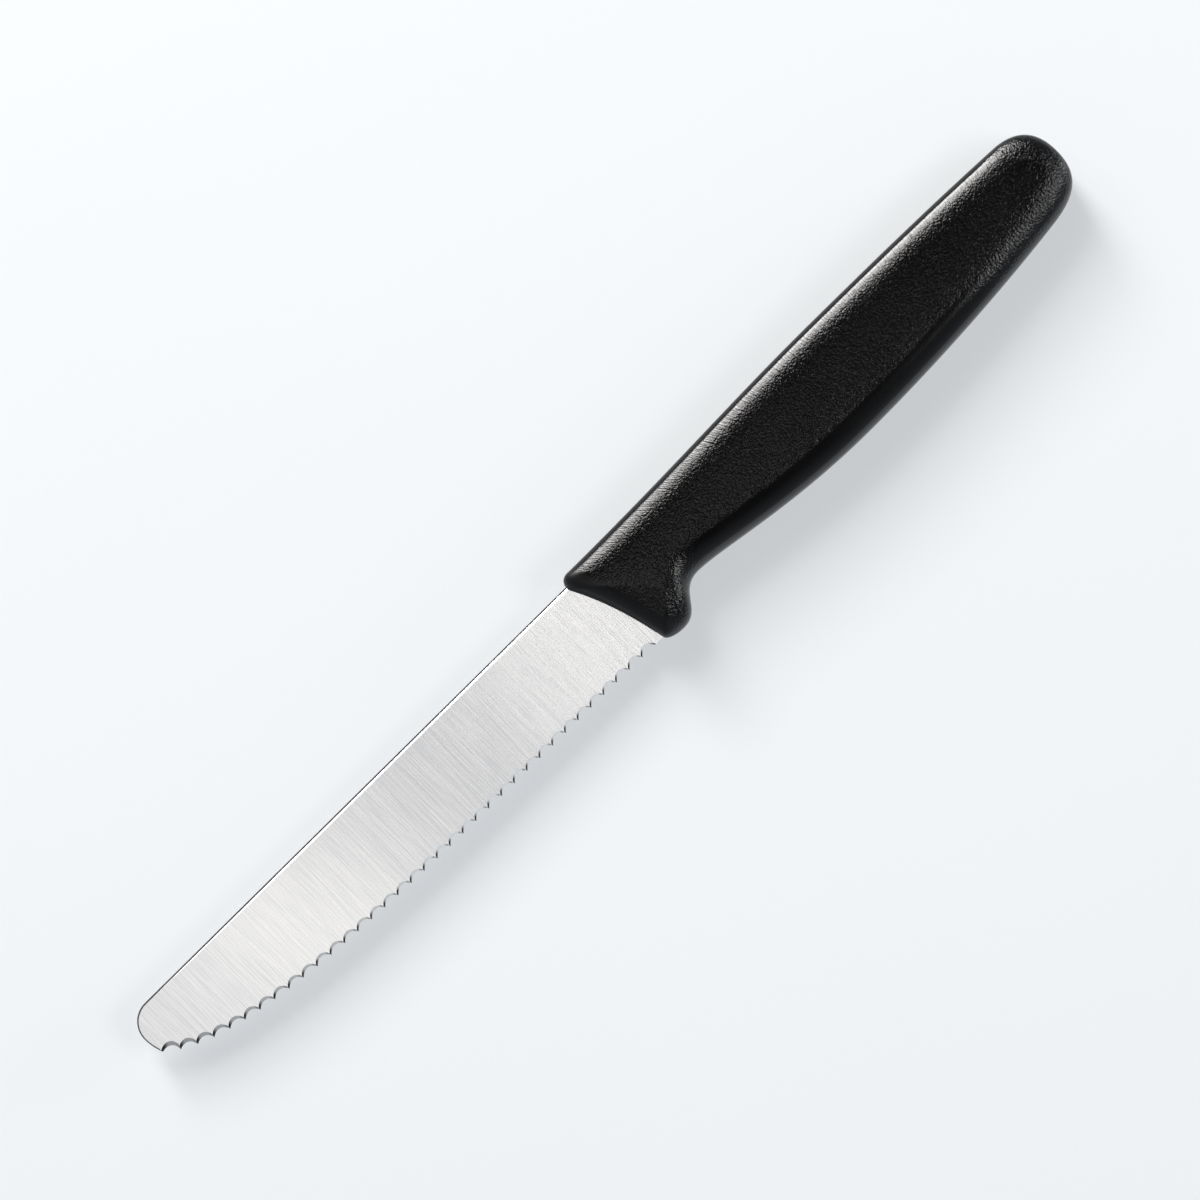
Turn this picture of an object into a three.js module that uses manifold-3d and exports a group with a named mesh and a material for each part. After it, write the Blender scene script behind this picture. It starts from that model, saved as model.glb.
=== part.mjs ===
// Serrated kitchen knife lying on its side: a ground steel blade, and the handle moulded round its tang.
// Millimetres. While it is drawn, X runs from tip to butt with 0 where the spine goes into the handle's nose,
// Y from edge to spine with 0 at the spine, and Z across the thickness with 0 at the blade's middle plane.
import * as THREE from "three";
import { mergeVertices } from "three/addons/utils/BufferGeometryUtils.js";
import Module from "manifold-3d";

// Blade
const bladeReach = 104.6; // tip end to the handle's nose
const bladeWidth = 17.55; // spine to the line of tooth points, at the heel
const spineThickness = 1.3;
const edgeThickness = 0.45; // at the line of tooth points
const spineRounding = 0.6; // radius of the blank's edges, which shows along the spine and round the tip
const tipRadius = 4.35; // round of the tip towards the spine
const tipDepth = 8.05; // spine to the first tooth point
const tipSetback = 0.75; // tip end to the first tooth point
const tipEdgeAngle = 45; // degrees between the edge and the spine at the first tooth point
const tipEdgePull = 11.9; // how far the edge holds that angle
const straightEdge = 30; // toothed edge that runs parallel to the spine, ahead of the handle's nose
const straightEdgePull = 35.7; // how far the edge stays nearly straight past that

// Teeth
const toothPitch = 3.03;
const toothDepth = 0.9;
const toothTilt = 42; // degrees that each scallop leans, so that its bevel shows on the upper side
const heelFlat = 1.85; // plain edge between the last tooth and the handle

// Tang
const tangReach = 68; // nose to the tang's end
const tangDrop = 2.6; // spine to the tang's upper edge
const tangCover = 3.2; // plastic below the tang at the finger notch
const tangEndWidth = 6;
const shoulderCover = 2; // spine that runs on inside the handle before the tang drops
const shoulderLength = 5; // length of the drop to the tang's upper edge
const heelCover = 0.4; // edge that runs on inside the handle before the tang rises
const heelRise = 7; // length of the rise to the tang's lower edge
const lockHoleDiameter = 4;
const lockHoleSetback = 30; // nose to the first lock hole
const lockHoleSpacing = 24;

// Handle
const handleLength = 110.45; // nose to butt
const handleThickness = 12;
const noseRadius = 1.75;
const noseLead = 0.2; // nose ahead of where the spine goes in
const noseRise = 1.55; // spine to the handle's back at the nose
const noseTurn = 118; // degrees of arc round the nose
const humpSetback = 60; // nose to the highest point of the back
const humpRise = 2.74;
const upperCornerSetback = 7.45; // butt to where the back starts to turn down
const upperCornerRise = 1.98;
const backSlope = 2.6; // degrees that the back falls there
const buttDrop = 5.8; // spine to the rearmost point
const lowerCornerSetback = 8.45; // butt to where the underside starts to turn up
const lowerCornerDepth = 14.25;
const undersideSlope = 7.6; // degrees that the underside climbs there
const bellySetback = 54.5; // nose to the deepest point of the grip
const bellyDepth = 17.35;
const neckSetback = 17.7; // nose to the finger notch
const neckDepth = 13.79;
const guardSetback = 9.3; // nose to the guard's lowest point
const guardDrop = 1.42; // guard below the line of tooth points
const heelSetback = 5.65; // nose to the handle's front at the cutting edge
const frontLean = 12; // degrees that the handle's front leans there

// Rolled edges of the handle, from its outline to the flat of its side
const backRoll = 3.4;
const bellyRoll = 4.2;
const buttRoll = 3.6;
const frontRoll = 3.4;
const guardRoll = 6.5;
const heelRoll = 5.4;
const rollPower = 2.5; // 2 is an ellipse, and higher is squarer

// Fit of the moulding on the steel
const mouldGap = 0.1;

// Fineness of the facets
const handleSteps = 11; // along each stretch of the handle's outline
const rollSteps = 6;
const curveSteps = 14; // along each curve of the blade's outline
const roundingSteps = 3;
const wheelSides = 44;
const holeSides = 24;

const upward = new THREE.Vector3(0, 0, 1);
const guardDepth = bladeWidth + guardDrop;
const tangRootWidth = neckDepth - tangDrop - tangCover;
const tangAxis = -tangDrop - tangRootWidth / 2;
const edgeRounding = Math.min(spineRounding, 0.46 * spineThickness);
const wasm = await Module();
wasm.setup();

// A closed geometry as a solid that can be joined and cut.
function solidOf(geometry) {
  geometry.deleteAttribute("normal");
  geometry.deleteAttribute("uv");
  const merged = mergeVertices(geometry, 1e-5);
  const triVerts = new Uint32Array(merged.index.array);
  return new wasm.Manifold(
    new wasm.Mesh({ numProp: 3, vertProperties: merged.attributes.position.array, triVerts }),
  );
}

// A solid as a geometry that a mesh can show.
function geometryOf(solid) {
  const mesh = solid.getMesh();
  const geometry = new THREE.BufferGeometry();
  geometry.setAttribute("position", new THREE.BufferAttribute(mesh.vertProperties, 3));
  geometry.setIndex(new THREE.BufferAttribute(mesh.triVerts, 1));
  geometry.computeVertexNormals();
  return geometry;
}

// A step of the given length along a heading in degrees.
function stepAlong(heading, length) {
  const angle = THREE.MathUtils.degToRad(heading);
  return new THREE.Vector2(Math.cos(angle), Math.sin(angle)).multiplyScalar(length);
}

// The line of tooth points, from the tip to the heel.
function edgeLine() {
  const first = new THREE.Vector2(tipSetback - bladeReach, -tipDepth);
  const pull = stepAlong(-tipEdgeAngle, tipEdgePull);
  const level = new THREE.Vector2(-straightEdge, -bladeWidth);
  const line = new THREE.Path();
  line.moveTo(first.x, first.y);
  line.bezierCurveTo(
    first.x + pull.x,
    first.y + pull.y,
    level.x - straightEdgePull,
    level.y,
    level.x,
    level.y,
  );
  line.lineTo(heelSetback - heelFlat, -bladeWidth);
  return line;
}

// The flat outline of blade and tang together.
function blankShape() {
  const tangRound = tangEndWidth / 2;
  const tangEnd = tangReach - tangRound;
  const shoulderEnd = shoulderCover + shoulderLength;
  const heelEnd = heelSetback + heelCover;
  const tangFloor = tangAxis - tangRootWidth / 2;
  const shape = new THREE.Shape();
  shape.moveTo(shoulderCover, 0);
  shape.lineTo(tipRadius - bladeReach, 0);
  shape.absarc(tipRadius - bladeReach, -tipRadius, tipRadius, Math.PI / 2, Math.PI, false);
  shape.quadraticCurveTo(-bladeReach, -(tipRadius + tipDepth) / 2, tipSetback - bladeReach, -tipDepth);
  for (const curve of edgeLine().curves) shape.curves.push(curve);
  shape.currentPoint.set(heelSetback - heelFlat, -bladeWidth);
  shape.lineTo(heelEnd, -bladeWidth);
  shape.bezierCurveTo(
    heelEnd + heelRise / 3,
    -bladeWidth,
    heelEnd + heelRise / 4,
    tangFloor,
    heelEnd + heelRise,
    tangFloor,
  );
  shape.lineTo(tangEnd, tangAxis - tangRound);
  shape.absarc(tangEnd, tangAxis, tangRound, -Math.PI / 2, Math.PI / 2, false);
  shape.lineTo(shoulderEnd, -tangDrop);
  const shoulderMiddle = shoulderCover + shoulderLength / 2;
  shape.bezierCurveTo(shoulderMiddle, -tangDrop, shoulderMiddle, 0, shoulderCover, 0);
  return shape;
}

// A side view across the blade (Y, Z), drawn out along X.
function alongBlade(points, start, end) {
  const shape = new THREE.Shape(points);
  const geometry = new THREE.ExtrudeGeometry(shape, { depth: end - start, bevelEnabled: false });
  const turn = new THREE.Matrix4().makeBasis(
    new THREE.Vector3(0, 1, 0),
    upward,
    new THREE.Vector3(1, 0, 0),
  );
  return solidOf(geometry.applyMatrix4(turn).translate(start, 0, 0));
}

// The metal that grinding takes off one side, so that the blade thins from spine to edge.
function grinding(side, grown) {
  const margin = 3;
  const slope = (spineThickness - edgeThickness) / 2 / bladeWidth;
  const faceAt = (y) => spineThickness / 2 + slope * y + grown;
  const high = margin;
  const low = -bladeWidth - margin;
  const outside = spineThickness + margin;
  const corners = [
    [high, faceAt(high)],
    [high, outside],
    [low, outside],
    [low, faceAt(low)],
  ];
  const points = corners.map(([y, z]) => new THREE.Vector2(y, side * z));
  const grindEnd = heelSetback + heelCover + heelRise / 2;
  return alongBlade(points, -bladeReach - margin, grindEnd - grown);
}

// One punched hole through the tang, which shrinks as the steel's faces move out.
function lockHole(setback, grown) {
  const radius = lockHoleDiameter / 2 - grown;
  const geometry = new THREE.CylinderGeometry(radius, radius, 2 * spineThickness, holeSides);
  return solidOf(geometry.rotateX(Math.PI / 2).translate(setback, tangAxis, 0));
}

// Blade and tang ground to their taper, with every face moved out by the given amount.
function groundBlank(grown) {
  const straight = spineThickness - 2 * edgeRounding;
  const geometry = new THREE.ExtrudeGeometry(blankShape(), {
    depth: straight,
    bevelThickness: edgeRounding + grown,
    bevelSize: edgeRounding,
    bevelOffset: grown - edgeRounding,
    bevelSegments: roundingSteps,
    curveSegments: curveSteps,
  });
  let blank = solidOf(geometry.translate(0, 0, -straight / 2));
  for (const side of [1, -1]) blank = blank.subtract(grinding(side, grown));
  for (const copy of [0, 1]) {
    blank = blank.subtract(lockHole(lockHoleSetback + copy * lockHoleSpacing, grown));
  }
  return blank;
}

// The wheel that grinds one scallop between two tooth points. It leans, so that its bevel shows from above.
function scallopWheel(from, to) {
  const tilt = THREE.MathUtils.degToRad(toothTilt);
  const along = new THREE.Vector2().subVectors(to, from);
  const chord = along.length();
  along.normalize();
  const inward = new THREE.Vector3(-along.y, along.x, 0);
  const sagitta = toothDepth * Math.cos(tilt);
  const radius = (chord * chord / 4 + sagitta * sagitta) / (2 * sagitta);
  const axis = inward.clone().multiplyScalar(Math.sin(tilt)).addScaledVector(upward, Math.cos(tilt));
  const across = new THREE.Vector3(along.x, along.y, 0);
  const middle = new THREE.Vector2().addVectors(from, to).multiplyScalar(0.5);
  const centre = new THREE.Vector3(middle.x, middle.y, -edgeThickness / 2);
  centre.addScaledVector(inward, toothDepth - radius / Math.cos(tilt));
  const place = new THREE.Matrix4().makeBasis(across, axis, across.clone().cross(axis));
  place.setPosition(centre);
  const wheelLength = 6 * spineThickness;
  const wheel = new THREE.CylinderGeometry(radius, radius, wheelLength, wheelSides);
  return solidOf(wheel.applyMatrix4(place));
}

function bladeSolid() {
  const line = edgeLine();
  const teeth = Math.round(line.getLength() / toothPitch);
  const points = line.getSpacedPoints(teeth);
  let blade = groundBlank(0);
  for (let i = 0; i < teeth; i += 1) blade = blade.subtract(scallopWheel(points[i], points[i + 1]));
  return blade;
}

// The corners of the handle's outline, clockwise from the foot of the nose. Each has the matching corner of
// the side's flat, the heading there in degrees, and the share of each stretch beside it that holds it.
function handleCorners() {
  const noseMiddle = { x: noseRadius - noseLead, y: noseRise - noseRadius };
  const noseFoot = THREE.MathUtils.degToRad(noseTurn + 90);
  const turn = THREE.MathUtils.degToRad(noseTurn);
  const arcShare = (2 / 3) * Math.tan(turn / 4) / Math.sin(turn / 2);
  const foot = {
    x: noseMiddle.x + noseRadius * Math.cos(noseFoot),
    y: noseMiddle.y + noseRadius * Math.sin(noseFoot),
  };
  return [
    {
      at: [foot.x, foot.y],
      flat: [foot.x + frontRoll, foot.y - backRoll],
      heading: noseTurn,
      before: 0.37,
      after: arcShare,
    },
    {
      at: [noseMiddle.x, noseRise],
      flat: [noseMiddle.x + frontRoll, noseRise - backRoll],
      heading: 0,
      before: arcShare,
      after: 0.445,
    },
    {
      at: [humpSetback, humpRise],
      flat: [humpSetback, humpRise - backRoll],
      heading: 0,
      before: 0.342,
      after: 0.335,
    },
    {
      at: [handleLength - upperCornerSetback, upperCornerRise],
      flat: [handleLength - upperCornerSetback - buttRoll / 3, upperCornerRise - backRoll],
      heading: -backSlope,
      before: 0.33,
      after: 0.49,
    },
    {
      at: [handleLength, -buttDrop],
      flat: [handleLength - buttRoll, -buttDrop],
      heading: -90,
      before: 0.418,
      after: 0.377,
    },
    {
      at: [handleLength - lowerCornerSetback, -lowerCornerDepth],
      flat: [handleLength - lowerCornerSetback - buttRoll / 3, bellyRoll - lowerCornerDepth],
      heading: undersideSlope - 180,
      before: 0.577,
      after: 0.296,
    },
    {
      at: [bellySetback, -bellyDepth],
      flat: [bellySetback, bellyRoll - bellyDepth],
      heading: 180,
      before: 0.33,
      after: 0.495,
    },
    {
      at: [neckSetback, -neckDepth],
      flat: [neckSetback, bellyRoll - neckDepth],
      heading: 180,
      before: 0.146,
      after: 0.486,
    },
    {
      at: [guardSetback, -guardDepth],
      flat: [guardSetback + frontRoll / 2, guardRoll - guardDepth],
      heading: 180,
      before: 0.446,
      after: 0.36,
    },
    {
      at: [heelSetback, -bladeWidth],
      flat: [heelSetback + frontRoll, heelRoll - bladeWidth],
      heading: 90 + frontLean,
      before: 0.255,
      after: 0.32,
    },
  ];
}

// Points along the closed curve through corners, each stretch a cubic that keeps the corners' headings.
function stretches(corners, key) {
  const points = [];
  corners.forEach((corner, i) => {
    const next = corners[(i + 1) % corners.length];
    const start = new THREE.Vector2(...corner[key]);
    const end = new THREE.Vector2(...next[key]);
    const chord = start.distanceTo(end);
    const curve = new THREE.CubicBezierCurve(
      start,
      stepAlong(corner.heading, corner.after * chord).add(start),
      stepAlong(next.heading, -next.before * chord).add(end),
      end,
    );
    points.push(...curve.getPoints(handleSteps).slice(0, -1));
  });
  return points;
}

// The handle's outside: rings that roll from the outline at its middle plane to the flat of each side.
function handleOutside() {
  const corners = handleCorners();
  const outline = stretches(corners, "at");
  const flat = stretches(corners, "flat");
  const around = outline.length;
  const positions = [];
  for (let level = -rollSteps; level <= rollSteps; level += 1) {
    const turn = (Math.abs(level) / rollSteps) * (Math.PI / 2);
    const outwards = Math.max(0, Math.cos(turn)) ** (2 / rollPower);
    const height = Math.sign(level) * (handleThickness / 2) * Math.sin(turn) ** (2 / rollPower);
    outline.forEach((point, i) => {
      const place = flat[i].clone().lerp(point, outwards);
      positions.push(place.x, place.y, height);
    });
  }
  const index = [];
  for (let ring = 0; ring < 2 * rollSteps; ring += 1) {
    for (let i = 0; i < around; i += 1) {
      const a = ring * around + i;
      const b = ring * around + ((i + 1) % around);
      index.push(a, a + around, b, b, a + around, b + around);
    }
  }
  const top = 2 * rollSteps * around;
  for (const [a, b, c] of THREE.ShapeUtils.triangulateShape(flat, [])) {
    index.push(a, c, b, top + a, top + b, top + c);
  }
  const geometry = new THREE.BufferGeometry();
  geometry.setAttribute("position", new THREE.Float32BufferAttribute(positions, 3));
  geometry.setIndex(index);
  return solidOf(geometry);
}

// The moulding: its outside less the room for the steel, which leaves pegs through the tang's lock holes.
function handleSolid() {
  return handleOutside().subtract(groundBlank(mouldGap));
}

const steel = new THREE.MeshStandardMaterial({ color: 0xd4d6d8, roughness: 0.3, metalness: 1 });
const plastic = new THREE.MeshStandardMaterial({ color: 0x18181a, roughness: 0.55, metalness: 0 });

const blade = new THREE.Mesh(geometryOf(bladeSolid()), steel);
blade.name = "blade";
const handle = new THREE.Mesh(geometryOf(handleSolid()), plastic);
handle.name = "handle";

// The knife lies on the flat of its handle, with the origin under the middle of its box.
const drawn = new THREE.Group();
drawn.add(blade, handle);
const box = new THREE.Box3().setFromObject(drawn);
const middle = box.getCenter(new THREE.Vector3());
drawn.position.set(-middle.x, -middle.y, -box.min.z);
const knife = new THREE.Group();
knife.add(drawn);

export default knife;
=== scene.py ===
import math

import bmesh
import bpy
import numpy as np
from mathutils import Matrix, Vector


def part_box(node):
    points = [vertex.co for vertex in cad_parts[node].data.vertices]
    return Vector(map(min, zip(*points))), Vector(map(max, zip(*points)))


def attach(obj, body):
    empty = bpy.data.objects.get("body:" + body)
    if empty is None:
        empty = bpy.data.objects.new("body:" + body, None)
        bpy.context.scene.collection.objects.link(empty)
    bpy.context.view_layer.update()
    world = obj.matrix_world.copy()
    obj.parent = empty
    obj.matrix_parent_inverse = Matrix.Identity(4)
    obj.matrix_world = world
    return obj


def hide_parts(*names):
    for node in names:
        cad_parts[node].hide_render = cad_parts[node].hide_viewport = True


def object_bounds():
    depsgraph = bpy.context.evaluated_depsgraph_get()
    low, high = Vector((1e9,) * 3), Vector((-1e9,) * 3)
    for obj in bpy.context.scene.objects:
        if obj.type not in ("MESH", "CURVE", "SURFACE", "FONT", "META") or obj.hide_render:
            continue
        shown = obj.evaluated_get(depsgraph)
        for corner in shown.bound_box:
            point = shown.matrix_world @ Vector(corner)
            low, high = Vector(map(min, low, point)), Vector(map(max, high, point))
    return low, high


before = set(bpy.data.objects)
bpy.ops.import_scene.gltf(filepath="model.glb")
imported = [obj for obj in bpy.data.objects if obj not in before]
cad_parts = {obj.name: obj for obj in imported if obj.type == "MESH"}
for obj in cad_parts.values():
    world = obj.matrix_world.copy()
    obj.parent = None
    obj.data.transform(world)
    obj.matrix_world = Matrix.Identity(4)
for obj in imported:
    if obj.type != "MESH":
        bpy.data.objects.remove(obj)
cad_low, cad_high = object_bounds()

# Shapes are drawn in millimetres, as in the part's source: X runs from tip to butt with 0 where the spine
# goes into the handle's nose, Y from edge to spine with 0 at the spine, and Z up with 0 at the blade's middle
# plane. Lamps are placed in metres in the shared frame.
MM = 0.001
NOISE_ENDS = (0.3, 0.7)  # values of a noise at which a colour that follows it is darkest and lightest

# Blade
BLADE_REACH = 104.6
BLADE_WIDTH = 17.55
SPINE_THICKNESS = 1.3
EDGE_THICKNESS = 0.45
SPINE_ROUNDING = 0.6
TIP_ROUNDING = 0.3
ROUNDING_TURN = math.radians(65)  # less than a quarter turn, so that a fine edge is left along the sides
ROUNDING_GROWTH = 55.0  # distance from the first tooth over which the rounding grows to the spine's
ROUNDING_FADE = 3.0  # how many times its own width the rounding takes to run out at its ends
TIP_RADIUS = 4.35
TIP_DEPTH = 8.05
TIP_SETBACK = 0.75
TIP_EDGE_ANGLE = 45.0
TIP_EDGE_PULL = 11.9
STRAIGHT_EDGE = 30.0
STRAIGHT_EDGE_PULL = 35.7

# Teeth
TOOTH_PITCH = 3.03
TOOTH_DEPTH = 0.9
TOOTH_TILT = 42.0
HEEL_FLAT = 1.85
FIRST_RUN = 0.34  # how far before the first tooth the first bevel begins
FIRST_RISE = 0.37  # how far up the tip's end that is
LAST_RUN = 0.23  # how far past the last tooth the last bevel ends
LEAN_LENGTH = 4.0  # length of the tip's end over which the first bevel's slant dies away
NO_SCALLOP = -2.0  # turn of the places that lie on no scallop

# Finish of the blade, with each noise's fineness for each millimetre along X, Y and Z
BRUSHING = (6.5, 0.13, 1.0)
BRUSHING_SHARE = 0.75  # share of the steel's tone that comes from its brushing; the rest is a painted reflection
BRUSHED_TONES = (0.25, 0.75)  # tones at which the steel is darkest and lightest
BRUSHING_DEPTH = 0.02
# darkest and lightest steel, used both for its brushing and for its painted reflection
BRUSHED_DARK = (0.60, 0.604, 0.617)
BRUSHED_LIGHT = (0.885, 0.876, 0.858)
BRUSHED_ROUGHNESS = (0.10, 0.18)
PAINTED_REFLECTION_WAVE = 75.0  # length over which the painted reflection goes from bright to dull and back
PAINTED_REFLECTION_SLANT = 0.4  # how much that wave also runs across the blade, against along it
PAINTED_REFLECTION_WANDER = (0.03, 0.03, 1.0)
GRINDING = (3.0, 3.0, 14.0)
GRINDING_DEPTH = 0.01
# colours of the ground scallops; the dark one is painted shade
GROUND_PAINTED_SHADE = (0.004, 0.004, 0.0045)
GROUND_LIGHT = (0.74, 0.743, 0.747)
GROUND_ROUGHNESS = (0.16, 0.28)
TIP_SHADE_REACH = 60.0  # length of the edge from the tip over which the painted shade on the scallops lifts
TIP_SHADE_LIGHT = 0.40  # how bright the scallops are painted at the tip
TIP_SIDE_SHADE_TURNS = (-0.75, -0.35)  # turns between which the painted shade on the scallop's side toward the tip lifts
HEEL_SIDE_SHADE_TURNS = (0.55, 0.95)  # turns between which painted shade falls on its side toward the heel
HOOK_LIGHT = 0.1  # light that the painted shade leaves there
RAGGED_TURN = 0.2  # how far the grinding marks move the edges of the painted shade
SHEARED_BELOW = 0.78  # upward part of the normal below which the blank's edge keeps its sheared finish and its painted shade
TEARS = (5.0, 5.0, 1.2)
TEAR_DEPTH = 0.03
# near-black colours of the sheared edge: painted shade along the blade's outline, over its real tears
SHEARED_SHADE_DARK = (0.03, 0.031, 0.033)
SHEARED_SHADE_LIGHT = (0.07, 0.071, 0.074)
SHEARED_ROUGHNESS = (0.38, 0.55)

# Tang
TANG_REACH = 68.0
TANG_DROP = 2.6
TANG_COVER = 3.2
TANG_END_WIDTH = 6.0
SHOULDER_COVER = 2.0
SHOULDER_LENGTH = 5.0
HEEL_COVER = 0.4
HEEL_RISE = 7.0
LOCK_HOLE_COUNT = 2
LOCK_HOLE_DIAMETER = 4.0
LOCK_HOLE_SETBACK = 30.0
LOCK_HOLE_SPACING = 24.0

# Handle
HANDLE_LENGTH = 110.45
HANDLE_THICKNESS = 12.0
NOSE_RADIUS = 1.75
NOSE_LEAD = 0.2
NOSE_RISE = 1.55
NOSE_TURN = 118.0
HUMP_SETBACK = 60.0
HUMP_RISE = 2.74
UPPER_CORNER_SETBACK = 7.45
UPPER_CORNER_RISE = 1.98
BACK_SLOPE = 2.6
BUTT_DROP = 5.8
LOWER_CORNER_SETBACK = 8.45
LOWER_CORNER_DEPTH = 14.25
UNDERSIDE_SLOPE = 7.6
BELLY_SETBACK = 54.5
BELLY_DEPTH = 17.35
NECK_SETBACK = 17.7
NECK_DEPTH = 13.79
GUARD_SETBACK = 9.3
GUARD_DROP = 1.42
HEEL_SETBACK = 5.65
FRONT_LEAN = 12.0
BACK_ROLL = 4.0
BELLY_ROLL = 4.2
BUTT_ROLL = 3.6
FRONT_ROLL = 5.4
GUARD_ROLL = 6.5
HEEL_ROLL = 5.4
BACK_WALL = 3.6  # height above the parting line at which the roll begins to turn in
BELLY_WALL = 1.5
FRONT_WALL = 2.9
BUTT_WALL = 3.4
WALL_DRAFT = 0.04  # how far the wall leans in from the parting line up to that height
ROLL_POWER = 2.2  # how squarely the roll turns down into the wall
ROLL_START = 0.06  # how far the roll has begun at the edge of the flat; it starts gently, well inside
CROWN = 0.3  # how far each broad face would fall from its middle line to the outline without the roll
AXIS_FRONT = (14.0, -6.2)  # ends of the broad face's middle line
AXIS_BUTT = (97.0, -6.0)
PARTING_DEPTH = 0.04  # groove where the halves of the mould met
PARTING_WIDTH = 0.24
MOULD_GAP = 0.1
ROOM_LEAD = 5.0  # how far in front of the nose the tang's room begins

# Finish of the handle, with each noise's fineness for each millimetre
SMOOTH_FRONT = (2.2, 4.8)  # distances from the front edge at which the grain begins and is full
COMBED_BELLY = (62.0, 88.0)  # where along the belly the combed roll begins and is full
GRAINED_GUARD = (14.0, 24.0)  # where behind the guard the grain on the roll begins to fade and is gone
GRAINED_BUTT = (98.0, 105.0)  # where toward the butt the grain on the back's roll begins and is full
GRAINED_BELLY = (76.0, 98.0)  # the same on the belly's roll
BELLY_COMB = 1.2  # how deeply the belly is combed, against the back
END_GRAIN = 1.6  # the grain on the roll of the guard and the butt, against that on the flat
ROLL_GRAIN = 1.1  # the grain along the top of the back's roll, against that on the flat
FLAT_LEVELS = (0.99, 1.08)  # levels, 1 at the flat's edge, between which the flat's grain begins and is full
EDGE_BEGINS = (0.84, 0.97)  # the same for the grain along the top of the back's roll
EDGE_ENDS = (1.0, 1.15)  # levels between which that grain fades
END_LEVELS = (0.25, 0.55)  # levels between which the guard's and the butt's grain begins and is full
COMB_ENDS = (0.92, 1.02)  # levels between which the combing of the back's roll fades
BELLY_COMB_ENDS = (0.7, 0.92)  # the same for the belly's roll
GRAIN_DEPTH = 0.04
CELLS = 2.5
PORES = 3.7
WARP = 1.4
WARP_SHARE = 0.18  # how far the warp moves the grain
COMB = (2.8, 2.4, 1.0)  # for each millimetre along the outline, and for each level up the roll
COMB_DEPTH = 1.2  # against the grain's
CLOUDS = 0.12
PLASTIC_DARK = (0.0016, 0.0016, 0.0018)
PLASTIC_LIGHT = (0.0028, 0.0027, 0.0028)
PLASTIC_ROUGHNESS = (0.12, 0.2)
FRONT_ROUGHNESS = 0.2  # roughness that the smooth front has on top of that

# Fineness
EDGE_STEPS = 600
CURVE_STEPS = 30
CURVE_STEPS_LEAST = 16
ARC_STEPS = 40
LOCK_HOLE_SIDES = 48
HEEL_POINTS = 120
FINE_POINTS = 2000
JOIN_WITHIN = 1e-7  # metres within which points of a mesh become one
NO_LENGTH = 1e-8  # metres below which an edge is taken away
TOOTH_STEPS = 14
ROUNDING_STEPS = 10
BACK_STEP = 0.5
OUTLINE_STEP = 0.5
ROLL_STEPS = 20
WALL_STEPS = 4
FACE_RINGS = 14
FACE_CORE = 0.03  # share of the broad face that its innermost ring leaves flat
SHARP_ANGLE = math.radians(22)
LEVEL = 0.9995  # upward part of the normal above which a face of the blade is one of its flat sides

# Stage, camera and lamps
FLOOR_WHITE = 0.5  # share of the floor that looks white whatever light falls on it
FLOOR_GAP = 0.00005  # metres from the part down to the floor
FLOOR_REACH = 8.0  # metres from the floor's middle to its sides
FLOOR_GLOW = (0.83, 0.855, 0.88)
FLOOR_DARK = (0.90, 0.92, 0.935)
FLOOR_LIGHT = (0.91, 0.93, 0.945)
FLOOR_CLOUDS = 0.01  # fineness for each millimetre
FRAME_WIDTH = 203.0  # width of the picture at the blade's middle plane
FRAME_CENTRE = (2.45, -5.6)
KNIFE_ANGLE = 44.64  # degrees from the picture's bottom edge to the knife's length
LENS = 150.0
SENSOR = 36.0
CLIP_START = 0.01  # metres
OVER_Y = -0.075  # metres, the middle line of the softboxes above the knife
OVER_HEIGHT = 1.25
OVER_DEPTH = 0.22
OVER_BOXES = (  # left and right end in metres, and radiance
    ("over_tip", -0.62, -0.13, 1.12),
    ("over_middle", -0.13, -0.035, 0.85),
    ("over_heel", -0.035, 0.05, 1.55),
)
BACK_DISTANCE = 1.5  # metres from the knife to the softboxes behind it
BACK_MIDDLE = 0.265
BACK_WIDTH = 0.47
BACK_BOXES = (  # middle and width in metres, lowest and highest elevation in degrees, and radiance
    ("back_low", BACK_MIDDLE, BACK_WIDTH, 20, 34, 24.0),
    ("back_middle", BACK_MIDDLE, BACK_WIDTH, 34, 55, 14.0),
    ("back_high", BACK_MIDDLE, BACK_WIDTH, 55, 63, 3.0),
    ("back_tip", -0.30, 0.66, 22, 50, 2.1),
)
RIGHT_BOXES = (  # place, place that it faces and size in metres, and radiance
    ("right_high", (0.80, -0.72, 1.40), (0.03, 0, 0), (0.7, 0.7), 4.8),
    ("right_low", (1.42, -0.56, 0.34), (0.05, 0, 0), (0.42, 0.4), 8.0),
)
WARM = (1.0, 0.985, 0.96)  # colour of the softboxes behind the knife
SKY = (  # upward part of a direction, and the colour seen there
    (0.0, (0.38, 0.42, 0.48)),
    (0.7, (0.16, 0.175, 0.19)),
    (0.9, (0.02, 0.021, 0.023)),
)

guard_depth = BLADE_WIDTH + GUARD_DROP
tang_root_width = NECK_DEPTH - TANG_DROP - TANG_COVER
tang_axis = -TANG_DROP - tang_root_width / 2
blade_low, blade_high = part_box("blade")
nose = Vector((blade_low.x + BLADE_REACH * MM, blade_high.y, (blade_low.z + blade_high.z) / 2))


def in_frame(points):
    """Drawn millimetres as metres in the shared frame."""
    return np.asarray(points, float) * MM + np.array(nose)


def cubic(a, b, c, d, steps):
    """Points along a cubic curve, without its last one."""
    t = np.linspace(0, 1, steps, endpoint=False)[:, None]
    a, b, c, d = (np.asarray(p, float) for p in (a, b, c, d))
    return a * (1 - t) ** 3 + 3 * b * t * (1 - t) ** 2 + 3 * c * t ** 2 * (1 - t) + d * t ** 3


def heading(degrees):
    return np.array([math.cos(math.radians(degrees)), math.sin(math.radians(degrees))])


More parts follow.
